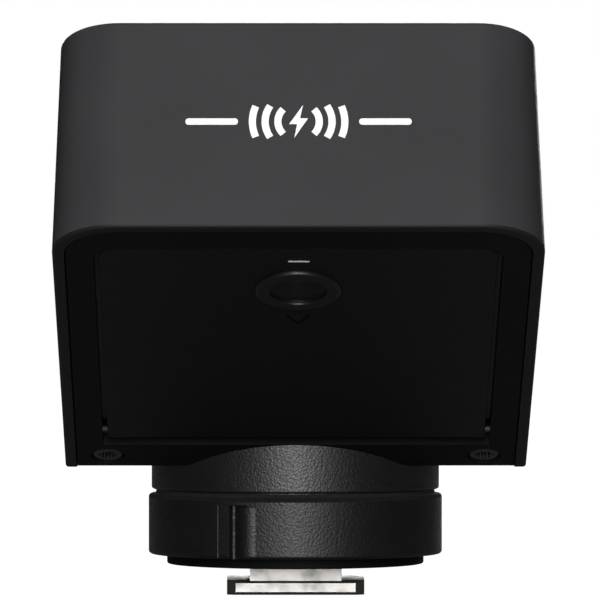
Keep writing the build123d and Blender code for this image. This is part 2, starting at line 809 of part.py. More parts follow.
def clamp_disc():
    """The disc that the ring presses down on the camera's rails."""
    plate = disc(clamp_radius, clamp_bottom, clamp_bottom + clamp_thickness)
    plate = fillet(plate.edges().sort_by(Axis.Z)[0], 0.3)
    plate -= Pos(0, 0, 5) * Box(foot_stem_width + 0.3, foot_stem_length + 0.3, 20)
    return plate


def foot_screw_places():
    return [(x, y) for x in (-5.0, 5.0) for y in (-5.6, 5.6)]


def shoe_foot():
    plate = Pos(0, 0, foot_plate / 2) * Box(foot_width, foot_length, foot_plate)
    plate = chamfer(plate.edges().filter_by(Axis.Z), 1.2)
    plate = chamfer(plate.faces().sort_by(Axis.Y)[0].edges().filter_by(Axis.X), 0.4)
    stem_top = spigot_bottom - retainer_thickness
    foot = plate + Pos(0, 0, (1 + stem_top) / 2) * Box(foot_stem_width, foot_stem_length, stem_top - 1)
    foot -= disc(lock_pin_radius + running_clearance, -1, 20, 0, lock_pin_back)
    foot -= disc(1.7, 3.0, 20, 0, lock_pin_back)
    foot -= Pos(0, 1.2, 0) * Box(insulator_width, 9.2, 2.4)
    foot -= Pos(0, 2.2, 5) * Box(6.0, 5.0, 20)
    for x, y in foot_screw_places():
        foot -= disc(foot_screw_core + 0.1, -1, 20, x, y)
        foot -= Pos(x, y, 0.4) * Cone(foot_screw_head + 0.2, foot_screw_core + 0.1, 1.0)
    return foot


def foot_screws():
    screws = []
    for x, y in foot_screw_places():
        head = Pos(x, y, 0.5) * Cone(foot_screw_head, foot_screw_core, 0.8)
        shank = disc(foot_screw_core, 0.8, spigot_bottom + 2.0, x, y)
        cross = Pos(x, y, 0.2) * (Box(1.6, 0.35, 0.9) + Box(0.35, 1.6, 0.9))
        screws.append(head + shank - cross)
    return Compound(children=screws)


def contact_places():
    return [(0, 1.2), (-2.2, 4.4), (2.2, 4.4), (-2.2, -2.0), (2.2, -2.0)]


def foot_insulator():
    block = Pos(0, 1.2, 0.6) * Box(insulator_width, 9.2, 1.2)
    block += Pos(0, 2.2, 3.2) * Box(6.0, 5.0, 4.2)
    for i, (x, y) in enumerate(contact_places()):
        block -= disc(contact_radius(i) + running_clearance, -1, 0.9, x, y)
    return block


def contact_radius(index):
    """The middle contact fires the flash and is the largest."""
    return 1.1 if index == 0 else 0.65


def contact(index):
    x, y = contact_places()[index]
    pin = disc(contact_radius(index), -contact_rise, 0.55, x, y)
    return chamfer(pin.edges().sort_by(Axis.Z)[0], 0.15)


def side_contacts():
    return Compound(children=[contact(i) for i in range(1, len(contact_places()))])


def locking_pin():
    low = 0.15
    pin = disc(lock_pin_radius, low, 6.2, 0, lock_pin_back)
    pin = chamfer(pin.edges().sort_by(Axis.Z)[0], 0.25)
    return pin + disc(1.55, 5.8, 6.5, 0, lock_pin_back)


def lock_pin_spring():
    return Pos(0, lock_pin_back, 0) * coil(0.25, 1.3, 3.05, 5.75, 5)


# ---------------------------------------------------------------- fasteners
def case_screws():
    screw = Rot(180, 0, 0) * pan_screw(case_screw_head, 1.2, case_screw_core, 9.0, 1.25, 0.8)
    top = frame_recess + 0.15
    return tilted(Compound(children=[Pos(x, y, top) * screw for x, y in case_screw_places()]))


def board_screws():
    screw = pan_screw(1.9, 1.1, board_screw_core, 5.2, 1.0, 0.6)
    return tilted(Compound(children=[Pos(x, y, board_top + 1.1) * screw
                                     for x, y in board_screw_places()]))


def neck_screws():
    screw = pan_screw(2.0, 1.2, 0.9, 7.0, 1.1, 0.7)
    top = frame_level + frame_plate + 1.2
    return Compound(children=[Pos(x, y, top) * screw for x, y in neck_screw_places()])


# ---------------------------------------------------------------- write every sub-part
def nodes():
    """Every sub-part by the name of its node."""
    made = {
        "outer_shell": outer_shell(),
        "lower_frame": lower_frame(),
        "battery_door": battery_door(),
        "thumb_grip": thumb_grip(),
        "door_hinge_pins": door_hinge_pins(),
        "battery_tray": battery_tray(),
        "contact_plates": contact_plates(),
        "contact_springs": contact_springs(),
        "control_panel": control_panel(),
        "display_window": display_window(),
        "display_seal": display_seal(),
        "display_module": display_module(),
        "dial_wheel": dial_wheel(),
        "dial_grip": dial_grip(),
        "centre_button": centre_button(),
        "encoder_base": encoder_base(),
        "button_switches": button_switches(),
        "main_board": main_board(),
        "radio_module": radio_module(),
        "antenna": antenna(),
        "board_chips": board_chips(),
        "buzzer": buzzer(),
        "display_ribbon": display_ribbon(),
        "status_light": status_light(),
        "port_cover": port_cover(),
        "usb_socket": usb_socket(),
        "sync_jack": sync_jack(),
        "shoe_flex": shoe_flex(),
        "shoe_neck": shoe_neck(),
        "lock_ring": lock_ring(),
        "ring_retainer": ring_retainer(),
        "clamp_disc": clamp_disc(),
        "shoe_foot": shoe_foot(),
        "foot_insulator": foot_insulator(),
        "middle_contact": contact(0),
        "side_contacts": side_contacts(),
        "locking_pin": locking_pin(),
        "lock_pin_spring": lock_pin_spring(),
        "case_screws": case_screws(),
        "board_screws": board_screws(),
        "neck_screws": neck_screws(),
        "foot_screws": foot_screws(),
    }
    for index, side in enumerate(("left", "middle", "right")):
        made[f"battery_cell_{side}"] = battery_cell(index)
    names = (("menu_button", "back_button"), ("power_button", "test_button"))
    for row, y in enumerate(button_rows):
        for column, x in enumerate(button_xs):
            made[names[row][column]] = panel_button(x, y)
    return made


if __name__ == "__main__":
    os.makedirs("parts", exist_ok=True)
    for name, shape in nodes().items():
        export_step(shape, f"parts/{name}.step")
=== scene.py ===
"""Looks for a radio flash trigger: its finishes, printed marks, trims, lit screen and stage."""

import json
import math

import bpy
from bpy.props import EnumProperty, FloatProperty, FloatVectorProperty, IntProperty, PointerProperty
from mathutils import Matrix, Vector


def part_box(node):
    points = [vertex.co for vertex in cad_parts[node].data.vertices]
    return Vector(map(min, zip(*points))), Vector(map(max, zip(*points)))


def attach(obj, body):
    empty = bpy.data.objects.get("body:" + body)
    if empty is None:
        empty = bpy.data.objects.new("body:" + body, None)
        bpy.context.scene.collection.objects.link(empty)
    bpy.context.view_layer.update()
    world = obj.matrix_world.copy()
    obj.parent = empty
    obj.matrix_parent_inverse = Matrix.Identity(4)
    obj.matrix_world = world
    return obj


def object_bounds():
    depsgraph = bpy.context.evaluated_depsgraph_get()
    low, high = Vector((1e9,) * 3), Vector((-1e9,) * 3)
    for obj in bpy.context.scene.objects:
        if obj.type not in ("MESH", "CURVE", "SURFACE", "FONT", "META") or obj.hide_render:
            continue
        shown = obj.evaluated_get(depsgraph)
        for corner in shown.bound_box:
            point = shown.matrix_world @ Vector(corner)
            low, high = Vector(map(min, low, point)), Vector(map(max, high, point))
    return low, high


bl_info = {
    "name": "Radio flash trigger looks",
    "version": (1, 0, 0),
    "blender": (4, 5, 0),
    "location": "3D View > Sidebar > Trigger",
    "description": "Finishes and fine pieces for a radio flash trigger",
    "category": "Object",
}

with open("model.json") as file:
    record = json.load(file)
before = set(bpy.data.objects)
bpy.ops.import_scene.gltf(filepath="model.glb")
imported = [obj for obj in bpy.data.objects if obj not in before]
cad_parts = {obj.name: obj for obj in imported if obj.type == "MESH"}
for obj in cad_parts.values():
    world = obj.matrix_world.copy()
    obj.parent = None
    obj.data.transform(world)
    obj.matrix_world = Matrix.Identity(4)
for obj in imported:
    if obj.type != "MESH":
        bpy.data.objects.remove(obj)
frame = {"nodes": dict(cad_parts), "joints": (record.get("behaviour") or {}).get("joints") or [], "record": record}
CAD_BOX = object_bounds()
MM = 0.001

# ------------------------------------------------------------------ places taken from the frame
JOINTS = {joint["name"]: joint for joint in frame["joints"]}
ACROSS = Vector((1, 0, 0))
RAISE = Vector(JOINTS["dial_turn"]["axis"])          # square to the display
DOWNHILL = RAISE.cross(ACROSS)                       # from the front edge to the shoe
DIAL_TOP = Vector(JOINTS["dial_turn"]["pos_m"])
DIAL_PLACE = (76.0, 31.35)                           # dial's top centre in the body frame, mm
FRONT_EDGE = DIAL_TOP - DOWNHILL * DIAL_PLACE[0] * MM - RAISE * DIAL_PLACE[1] * MM
WALL_LEAN = math.tan(math.radians(1.64))             # the outer walls' draft
STEP = (13.05, 13.98)                                # the step between ring and neck, mm up, darkened with painted shade
SHELL_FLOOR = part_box("outer_shell")[0].z             # the level part of the underside
SHADED_RIM = 0.45                                           # height of the shell's rim band that is painted darker as shade, mm
CELL_ENDS, CELL_SLEEVE = 24.5, 16.5                  # from a cell's middle, mm
TRACES_PER_METRE = (900, 520)                        # on the circuit board
TRACKS_PER_METRE = 1250                              # on the flat cables
ROWS_PER_METRE = 5200                                # of the lit screen


def plane(origin, right, up):
    """A drawing plane as a matrix: its own X runs to the right, Y up, Z out of the surface."""
    right, up = right.normalized(), up.normalized()
    out = right.cross(up)
    made = Matrix((right, up, out)).transposed().to_4x4()
    made.translation = origin
    return made


def body_point(x, along, above):
    """A point given in the body frame in millimetres."""
    return FRONT_EDGE + (ACROSS * x + DOWNHILL * along + RAISE * above) * MM


def front_plane(above):
    """The leaning front face, centred across, with its origin this far above the front edge."""
    up = RAISE + DOWNHILL * WALL_LEAN
    return plane(body_point(0, above * WALL_LEAN, above), ACROSS, up)


def under_plane(along, below=0.12):
    """The sloping underside, seen from below with the front edge at the top."""
    return plane(body_point(0, along, below), ACROSS, -DOWNHILL)


def display_plane(x, along, above=28.7):
    """The control panel as the user sees it, with the front edge at the top."""
    return plane(body_point(x, along, above), -ACROSS, -DOWNHILL)


def window_plane(above=28.7):
    """The display plane with its origin under the window's middle."""
    low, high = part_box("display_window")
    along = ((low + high) / 2 - FRONT_EDGE).dot(DOWNHILL) / MM
    return display_plane(0, along, above)


# ------------------------------------------------------------------ shader maths
class Value:
    """A shader socket that does its maths with ordinary operators."""

    def __init__(self, graph, socket):
        self.graph, self.socket = graph, socket

    def _maths(self, operation, *values):
        return self.graph.node("ShaderNodeMath", {"operation": operation},
                               dict(enumerate(values)))

    def __add__(self, other):
        return self._maths("ADD", self, other)

    def __sub__(self, other):
        return self._maths("SUBTRACT", self, other)

    def __rsub__(self, other):
        return self._maths("SUBTRACT", other, self)

    def __mul__(self, other):
        return self._maths("MULTIPLY", self, other)

    def __gt__(self, other):
        return self._maths("GREATER_THAN", self, other)

    def __lt__(self, other):
        return self._maths("LESS_THAN", self, other)

    def __abs__(self):
        return self._maths("ABSOLUTE", self)

    def fraction(self):
        return self._maths("FRACT", self)

    __radd__, __rmul__ = __add__, __mul__


class Graph:
    """One material's node graph, around a Principled shader."""

    def __init__(self, name):
        self.material = bpy.data.materials.new(name)
        self.material.use_nodes = True
        self.tree = self.material.node_tree
        self.shader = self.tree.nodes["Principled BSDF"]
        coords = self.tree.nodes.new("ShaderNodeTexCoord")
        self.place = Value(self, coords.outputs["Object"])

    def node(self, kind, settings=None, inputs=None, output=0):
        """Adds a node of any kind: its settings first, then the values or links of its sockets."""
        made = self.tree.nodes.new(kind)
        for key, value in (settings or {}).items():
            if key == "stops":
                self.set_stops(made.color_ramp, value)
            else:
                setattr(made, key, value)
        for key, value in (inputs or {}).items():
            self.feed(made.inputs[key], value)
        return Value(self, made.outputs[output])

    @staticmethod
    def set_stops(ramp, stops):
        while len(ramp.elements) < len(stops):
            ramp.elements.new(1.0)
        for element, (position, shade) in zip(ramp.elements, stops):
            element.position = position
            element.color = (shade, shade, shade, 1)

    def feed(self, socket, value):
        if isinstance(value, Value):
            self.tree.links.new(value.socket, socket)
        else:
            socket.default_value = value

    def set(self, **sockets):
        """Sets or links the shader's own sockets, given with underscores for spaces."""
        for key, value in sockets.items():
            self.feed(self.shader.inputs[key.replace("_", " ")], value)
        return self

    def noise(self, size, detail=3.0, stretch=None, roughness=0.5):
        """Noise whose features are about size millimetres across."""
        place = self.place
        if stretch:
            place = self.node("ShaderNodeMapping", None, {"Vector": place, "Scale": stretch})
        return self.node("ShaderNodeTexNoise", None,
                         {"Vector": place, "Scale": 1 / (size * MM), "Detail": detail,
                          "Roughness": roughness})

    def pebbles(self, size):
        """Rounded cells, 0 at each middle, about size millimetres across."""
        return self.node("ShaderNodeTexVoronoi", {"feature": "SMOOTH_F1"},
                         {"Vector": self.place, "Scale": 1 / (size * MM), "Smoothness": 0.35})

    def ramp(self, value, *stops):
        return self.node("ShaderNodeValToRGB", {"stops": stops}, {"Fac": value})

    def blend(self, amount, first, second):
        """Mixes two colours, or links, by amount."""
        rgba = [tuple(c) + (1,) if isinstance(c, (tuple, list)) and len(c) == 3 else c
                for c in (first, second)]
        return self.node("ShaderNodeMix", {"data_type": "RGBA"},
                         {0: amount, 6: rgba[0], 7: rgba[1]}, 2)

    def bump(self, height, depth, strength=1.0, under=None):
        """A bump of depth millimetres, on top of another bump if one is given."""
        inputs = {"Height": height, "Distance": depth * MM, "Strength": strength}
        if under is not None:
            inputs["Normal"] = under
        return self.node("ShaderNodeBump", None, inputs)

    def split(self, vector=None):
        """The three parts of a vector, the place on the piece if none is given."""
        made = self.tree.nodes.new("ShaderNodeSeparateXYZ")
        self.feed(made.inputs[0], vector or self.place)
        return [Value(self, output) for output in made.outputs]


def shade(colour, factor):
    return tuple(channel * factor for channel in colour[:3])


# ------------------------------------------------------------------ finishes
def powder_coat(name, colour):
    """Satin powder coat on the shell: fine orange peel, slightly speckled, with painted shade darkening its rim
    band along the undersides.
    """
    g = Graph(name)
    peel = g.noise(0.55, 2.0)
    fine = g.noise(0.16, 2.0)
    drift = g.noise(14.0, 2.0)
    tone = g.blend(g.ramp(drift, (0.3, 0), (0.7, 1)), shade(colour, 0.94), shade(colour, 1.06))
    speck = g.ramp(g.noise(0.22, 1.0), (0.66, 0), (0.74, 1))
    along, up = g.split()[1:]
    above = (along - FRONT_EDGE.y) * RAISE.y + (up - FRONT_EDGE.z) * RAISE.z
    # painted shade: the rim band next to the sloping and level undersides is darkened to a third of the coat
    # colour and gets no specks
    outside_rim_shade = (above > SHADED_RIM * MM) * (up > SHELL_FLOOR + SHADED_RIM * MM)
    tone = g.blend(outside_rim_shade, shade(colour, 0.35), tone)
    g.set(Base_Color=g.blend(speck * outside_rim_shade * 0.35, tone, shade(colour, 1.5)),
          Roughness=fine * 0.12 + drift * 0.06 + 0.40,
          Normal=g.bump(fine, 0.010, 0.7, g.bump(peel, 0.018, 0.8)))
    g.set(Specular_IOR_Level=0.14)
    return g.material


def moulded(name, colour, roughness=0.55, grain=0.32, depth=0.012, specular=0.4):
    """Moulded plastic with a spark-eroded grain and faint flow marks."""
    g = Graph(name)
    spark = g.noise(grain, 3.0, roughness=0.65)
    flow = g.noise(16.0, 2.0, stretch=(1, 0.35, 1))
    smear = g.ramp(g.noise(5.0, 4.0), (0.52, 0), (0.75, 1))
    tone = g.blend(g.ramp(flow, (0.3, 0), (0.7, 1)), shade(colour, 0.9), shade(colour, 1.1))
    g.set(Base_Color=g.blend(g.ramp(spark, (0.35, 0), (0.65, 1)) * 0.3, tone, shade(colour, 1.35)),
          Roughness=spark * 0.12 + smear * -0.05 + roughness,
          Normal=g.bump(spark, depth))
    g.set(Specular_IOR_Level=specular)
    return g.material


def pebbled(name, colour, size, depth, roughness, specular, step_from=STEP[0]):
    """Plastic moulded against a leather-like grain, with the step between neck and ring left matt and darkened by
    painted shade.
    """
    g = Graph(name)
    coarse = g.pebbles(size)
    fine = g.noise(size * 0.45, 2.0)
    height = g.split()[2]
    step = (height > step_from * MM) * (height < STEP[1] * MM)
    skin = 1 - step
    # painted shade: darker in the creases between pebbles and lighter on their raised crowns
    tone = g.blend(g.ramp(coarse, (0.1, 1), (0.6, 0)), shade(colour, 0.5), shade(colour, 1.2))
    tone = g.blend(g.ramp(g.noise(6.0), (0.35, 0), (0.7, 1)), tone, shade(colour, 1.12))
    # painted shade: the step between neck and ring is darkened to a tenth of the colour
    g.set(Base_Color=g.blend(step, tone, shade(colour, 0.1)),
          Roughness=coarse * 0.20 + fine * 0.08 + step * 0.5 + roughness,
          Normal=g.bump(fine * skin, depth * 0.25, 0.8, g.bump((1 - coarse) * skin, depth)))
    g.set(Specular_IOR_Level=specular)
    return g.material


def rubber(name, colour):
    """Silicone or rubber with a dusty, matt skin."""
    g = Graph(name)
    skin = g.noise(0.25, 3.0)
    dust = g.ramp(g.noise(2.5, 5.0), (0.55, 0), (0.8, 1))
    g.set(Base_Color=g.blend(dust * 0.35, colour, shade(colour, 1.9)),
          Roughness=skin * 0.15 + dust * 0.1 + 0.62,
          Normal=g.bump(skin, 0.012))
    g.set(Specular_IOR_Level=0.3, Sheen_Weight=0.08, Sheen_Roughness=0.5)
    return g.material


def turned_metal(name, colour, roughness=0.28, stretch=(1, 1, 14)):
    """Plain, plated or blackened metal with tool marks."""
    g = Graph(name)
    marks = g.noise(2.2, 4.0, stretch=stretch)
    stain = g.ramp(g.noise(1.6, 4.0), (0.45, 0), (0.75, 1))
    g.set(Base_Color=g.blend(stain * 0.5, colour, shade(colour, 0.72)),
          Roughness=marks * 0.16 + stain * 0.12 + roughness,
          Normal=g.bump(marks, 0.004, 0.6))
    g.set(Metallic=1.0)
    return g.material


def anodised(name, colour):
    """Bead-blasted, black-anodised aluminium."""
    g = Graph(name)
    blast = g.noise(0.12, 2.0)
    wear = g.ramp(g.noise(3.0, 5.0), (0.6, 0), (0.85, 1))
    g.set(Base_Color=g.blend(wear * 0.4, colour, shade(colour, 1.7)),
          Roughness=blast * 0.15 + 0.36, Normal=g.bump(blast, 0.006))
    g.set(Metallic=0.85)
    return g.material


def solder_mask(name, colour, copper):
    """A green circuit board with darker bare laminate between its traces."""
    g = Graph(name)
    x, y = g.split()[:2]
    across, along = x * TRACES_PER_METRE[0], y * TRACES_PER_METRE[1]
    lines = (across.fraction() > 0.42) * (along.fraction() > 0.35)
    patches = g.ramp(g.node("ShaderNodeTexVoronoi", {"distance": "MANHATTAN"},
                            {"Vector": g.place, "Scale": 420.0}), (0.35, 0), (0.37, 1))
    traces = lines * patches
    pads = g.ramp(g.node("ShaderNodeTexVoronoi", {"distance": "CHEBYCHEV"},
                         {"Vector": g.place, "Scale": 640.0}), (0.10, 1), (0.13, 0))
    base = g.blend(traces * 0.6, shade(colour, 0.7), shade(colour, 1.8))
    g.set(Base_Color=g.blend(pads * 0.7, base, copper), Metallic=pads * 0.7,
          Roughness=traces * 0.08 + 0.28, Normal=g.bump(traces, 0.03))
    g.set(Coat_Roughness=0.1)
    return g.material


def film(name, colour, copper):
    """Polyimide flat cable with copper tracks under the film."""
    g = Graph(name)
    tracks = (g.split()[0] * TRACKS_PER_METRE).fraction() > 0.5
    g.set(Base_Color=g.blend(tracks * 0.55, colour, copper),
          Roughness=g.noise(3.0) * 0.15 + 0.25, Normal=g.bump(tracks, 0.02, 0.6))
    return g.material


def cell_wrap(name, sleeve, band, metal):
    """A printed cell: steel ends, a copper-coloured band at the positive end, a dark sleeve."""
    g = Graph(name)
    low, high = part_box("battery_cell_left")
    centre = (low + high) / 2
    offset = g.node("ShaderNodeVectorMath", {"operation": "SUBTRACT"},
                    {0: g.place, 1: tuple(centre)})
    along = g.node("ShaderNodeVectorMath", {"operation": "DOT_PRODUCT"},
                   {0: offset, 1: tuple(DOWNHILL)}, "Value")
    ends = abs(along) > CELL_ENDS * MM
    sleeve_end = abs(along) > CELL_SLEEVE * MM
    scuffs = g.ramp(g.noise(1.2, 5.0, stretch=(1, 0.3, 1)), (0.62, 0), (0.8, 1))
    wrap = g.blend(sleeve_end, sleeve, band)
    wrap = g.blend(scuffs * 0.25, wrap, (0.5, 0.5, 0.5))
    g.set(Base_Color=g.blend(ends, wrap, metal), Metallic=ends,
          Roughness=scuffs * 0.2 + 0.24, Normal=g.bump(scuffs, 0.01))
    return g.material


def tinted_glass(name, alpha):
    """The display window: smoked acrylic, coated against glare, with the lightest of smears."""
    g = Graph(name)
    smear = g.ramp(g.noise(9.0, 4.0), (0.5, 0), (0.8, 1))
    g.set(Base_Color=(0.004, 0.004, 0.005, 1), Roughness=smear * 0.07 + 0.05)
    g.set(Alpha=alpha, Specular_IOR_Level=0.15)
    return g.material


def lamp_lens(name):
    """A frosted light pipe, dark while the lamp is off."""
    g = Graph(name)
    frost = g.noise(0.3, 2.0)
    g.set(Base_Color=g.blend(frost * 0.3, (0.55, 0.58, 0.56), (0.8, 0.8, 0.8)),
          Roughness=frost * 0.2 + 0.35, Normal=g.bump(frost, 0.01))
    g.set(Alpha=0.85)
    return g.material


def paint(name, colour, roughness=0.5):
    """Pad-printed ink: slightly uneven in cover and gloss."""
    g = Graph(name)
    cover = g.ramp(g.noise(0.35, 3.0), (0.3, 0), (0.6, 1))
    g.set(Base_Color=g.blend(cover, shade(colour, 0.82), colour),
          Roughness=cover * -0.08 + roughness, Normal=g.bump(cover, 0.004))
    return g.material


def glowing(name, colour, strength):
    """A lit part of the screen, with the fine dark lines between its rows."""
    g = Graph(name)
    along = g.node("ShaderNodeVectorMath", {"operation": "DOT_PRODUCT"},
                   {0: g.place, 1: tuple(DOWNHILL)}, "Value")
    rows = (along * ROWS_PER_METRE).fraction() > 0.18
    g.set(Base_Color=shade(colour, 0.1) + (1,), Roughness=g.noise(4.0) * 0.1 + 0.2,
          Emission_Color=g.blend(rows, shade(colour, 0.55), colour))
    g.set(Emission_Strength=strength)
    return g.material


def make_finishes(look):
    """Every finish by the name of its slot, and the finishes of the new pieces."""
    copper = (0.72, 0.42, 0.20)
    return {
        "shell": powder_coat("shell_powder_coat", tuple(look.shell_colour)),
        "frame": moulded("frame_grain", tuple(look.frame_colour), 0.58, specular=0.12),
        "door": moulded("door_grain", tuple(look.door_colour), 0.50, 0.22, 0.009, 0.22),
        "grip": moulded("grip_grain", tuple(look.door_colour), 0.36, 0.18, 0.004, 0.45),
        "steel": turned_metal("plain_steel", (0.55, 0.55, 0.56)),
        "hinge_pin": turned_metal("hinge_pin", (0.07, 0.07, 0.07), 0.5),
        "screw_black": turned_metal("black_screw", (0.10, 0.10, 0.105), 0.30),
        "neck": pebbled("neck_pebble", tuple(look.neck_colour), 0.33, 0.035, 0.31, 0.66),
        "ring": pebbled("ring_pebble", tuple(look.neck_colour), 0.33, 0.035, 0.33, 0.48, 12.95),
        "clamp": moulded("clamp_moulding", tuple(look.neck_colour), 0.62, specular=0.10),
        "foot_metal": turned_metal("nickel_plate", (0.30, 0.29, 0.28), 0.30, (1, 9, 1)),
        "insulator": moulded("insulator_moulding", (0.018, 0.018, 0.02), 0.5),
        "gold": turned_metal("gold_plate", (0.86, 0.62, 0.26), 0.2),
        "tray": moulded("tray_moulding", (0.03, 0.03, 0.033), 0.52),
        "cell": cell_wrap("cell_sleeve", (0.03, 0.12, 0.11), (0.62, 0.36, 0.16), (0.6, 0.6, 0.6)),
        "window": tinted_glass("smoked_window", look.window_alpha),
        "module": moulded("module_frame", (0.012, 0.012, 0.014), 0.3, specular=0.4),
        "foam": rubber("foam_seal", (0.03, 0.03, 0.03)),
        "ribbon": film("flat_cable", (0.30, 0.12, 0.02), copper),
        "board": solder_mask("board_mask", (0.012, 0.075, 0.035), copper),
        "chip": moulded("chip_epoxy", (0.022, 0.022, 0.024), 0.45, 0.1),
        "can": turned_metal("tinned_can", (0.60, 0.60, 0.58), 0.3, (9, 1, 1)),
        "clear": lamp_lens("lamp_lens"),
        "key_rubber": rubber("key_skin", (0.055, 0.056, 0.06)),
        "rubber": rubber("cover_rubber", (0.022, 0.022, 0.024)),
        "dial": anodised("dial_anodise", (0.07, 0.07, 0.075)),
        "ink": paint("white_ink", (0.82, 0.83, 0.84)),
        "emblem_ink": paint("emblem_ink", tuple(look.emblem_colour)),
        "red_ink": paint("red_ink", (0.62, 0.05, 0.03)),
        "screen_dark": glowing("screen_ground", (0.012, 0.016, 0.024), 0.6),
        "screen_white": glowing("screen_white", (0.85, 0.9, 1.0), 1.1),
        "screen_amber": glowing("screen_amber", (1.0, 0.42, 0.05), 1.2),
        "screen_green": glowing("screen_green", (0.15, 0.85, 0.35), 1.0),
        "screen_blue": glowing("screen_blue", (0.10, 0.45, 1.0), 1.1),
    }


# ------------------------------------------------------------------ outlines, in millimetres
def arc(radius, start, end, centre=(0, 0), steps=16):
    angles = [math.radians(start + (end - start) * i / steps) for i in range(steps + 1)]
    return [(centre[0] + radius * math.cos(a), centre[1] + radius * math.sin(a)) for a in angles]


def band(radius, width, start, end):
    """A stretch of a ring with square ends."""
    return arc(radius + width / 2, start, end) + arc(radius - width / 2, end, start)


def bar(x, y, length, height, corner=None):
    """A bar centred on a point, with rounded corners."""
    r = min(height, length) * 0.3 if corner is None else corner
    hx, hy = length / 2 - r, height / 2 - r
    corners = ((hx, hy, 0), (-hx, hy, 90), (-hx, -hy, 180), (hx, -hy, 270))
    return [point for cx, cy, turn in corners
            for point in arc(r, turn, turn + 90, (x + cx, y + cy), 4)]


def bolt(height):
    """A plain lightning bolt, drawn one unit high and scaled."""
    shape = [(0.12, 0.5), (-0.26, -0.08), (-0.04, -0.08), (-0.12, -0.5), (0.26, 0.1), (0.04, 0.1)]
    return [(x * height, y * height) for x, y in shape]


def dot(radius):
    return arc(radius, 0, 345, steps=23)


# ------------------------------------------------------------------ making pieces
def select_only(obj):
    bpy.ops.object.select_all(action="DESELECT")
    obj.select_set(True)
    bpy.context.view_layer.objects.active = obj


def settle(obj, place, body, finish):
    """Puts a piece in its place, moves the place into its mesh and gives it its body and finish."""
    obj.matrix_world = place
    select_only(obj)
    if obj.type != "MESH":
        bpy.ops.object.convert(target="MESH")
        obj = bpy.context.view_layer.objects.active
    bpy.ops.object.transform_apply(location=True, rotation=True, scale=True)
    obj.data.materials.clear()
    obj.data.materials.append(finish)
    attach(obj, body)
    return obj


def printed(name, outlines, place, body, finish, height=0.05, rise=0.035):
    """A flat raised print: closed outlines filled and given a small height over the surface."""
    drawing = bpy.data.curves.new(name, "CURVE")
    drawing.dimensions = "2D"
    drawing.fill_mode = "BOTH"
    drawing.extrude = height / 2 * MM
    for outline in outlines:
        spline = drawing.splines.new("POLY")
        spline.points.add(len(outline) - 1)
        for point, (x, y) in zip(spline.points, outline):
            point.co = (x * MM, y * MM, 0, 1)
        spline.use_cyclic_u = True
    obj = bpy.data.objects.new(name, drawing)
    bpy.context.scene.collection.objects.link(obj)
    lift = Matrix.Translation((0, 0, (rise - height / 2) * MM))
    return settle(obj, place @ lift, body, finish)


def numerals(name, words, size, place, body, finish):
    """Plain figures, cut from flat sheet, that end at their place."""
    bpy.ops.object.select_all(action="DESELECT")
    bpy.ops.object.text_add()
    obj = bpy.context.object
    obj.name = name
    obj.data.body = words
    obj.data.size = size * MM
    obj.data.align_x = "RIGHT"
    obj.data.align_y = "CENTER"
    obj.data.extrude = 0.02 * MM
    return settle(obj, place, body, finish)


def pick(obj, kind, wanted):
    """In edit mode, selects only the faces or edges whose centres pass a test."""
    bpy.ops.mesh.select_all(action="DESELECT")
    bpy.ops.mesh.select_mode(type=kind)
    bpy.ops.object.mode_set(mode="OBJECT")
    vertices = obj.data.vertices
    parts = obj.data.polygons if kind == "FACE" else obj.data.edges
    for part in parts:
        points = [vertices[i].co for i in part.vertices]
        part.select = wanted(points)
    bpy.ops.object.mode_set(mode="EDIT")


def raise_rim(obj, width, height, edge):
    """Turns a flat plate into a low trim: its middle cut out, its rim raised and its top rounded."""
    select_only(obj)
    bpy.ops.object.mode_set(mode="EDIT")
    bpy.ops.mesh.select_all(action="SELECT")
    bpy.ops.mesh.inset(thickness=width * MM, use_boundary=True)
    bpy.ops.mesh.delete(type="FACE")
    bpy.ops.mesh.select_all(action="SELECT")
    bpy.ops.mesh.extrude_region_move(TRANSFORM_OT_translate={"value": (0, 0, height * MM)})
    pick(obj, "EDGE", lambda points: all(point.z > height * 0.9 * MM for point in points)
         and abs(points[0].length - points[1].length) < width * 0.4 * MM)
    bpy.ops.mesh.bevel(offset=edge * MM, segments=3, affect="EDGES")
    bpy.ops.mesh.select_all(action="SELECT")
    bpy.ops.mesh.remove_doubles(threshold=0.00001)
    bpy.ops.mesh.normals_make_consistent(inside=False)
    bpy.ops.object.mode_set(mode="OBJECT")
    bpy.ops.object.shade_smooth_by_angle(angle=math.radians(35))
    return obj


def dress(node_names, finish):
    """Gives CAD nodes a finish through their material slots."""
    for name in node_names:
        obj = frame["nodes"][name]
        if not obj.material_slots:
            raise RuntimeError(f"{name} has no material slot")
        for slot in obj.material_slots:
            slot.material = finish


FINISHES = {}


# ------------------------------------------------------------------ settings
class TriggerLook(bpy.types.PropertyGroup):
    """Colours and finish values of the trigger."""

    shell_colour: FloatVectorProperty(
        name="Shell colour", description="Powder coat of the outer shell", subtype="COLOR",
        size=3, min=0, max=1, default=(0.0330, 0.0332, 0.0352))
    frame_colour: FloatVectorProperty(
        name="Frame colour", description="Moulded frame and control panel", subtype="COLOR",
        size=3, min=0, max=1, default=(0.0040, 0.0040, 0.0043))
    door_colour: FloatVectorProperty(
        name="Door colour", description="Battery door", subtype="COLOR",
        size=3, min=0, max=1, default=(0.0040, 0.0040, 0.0043))
    neck_colour: FloatVectorProperty(
        name="Neck colour", description="Neck, locking ring and clamp disc", subtype="COLOR",
        size=3, min=0, max=1, default=(0.0036, 0.0036, 0.0038))
    emblem_colour: FloatVectorProperty(
        name="Emblem colour", description="Ink of the mark on the front face", subtype="COLOR",
        size=3, min=0, max=1, default=(0.93, 0.93, 0.94))
    window_alpha: FloatProperty(
        name="Window tint", description="How much of the display the window hides",
        min=0, max=1, default=0.35)


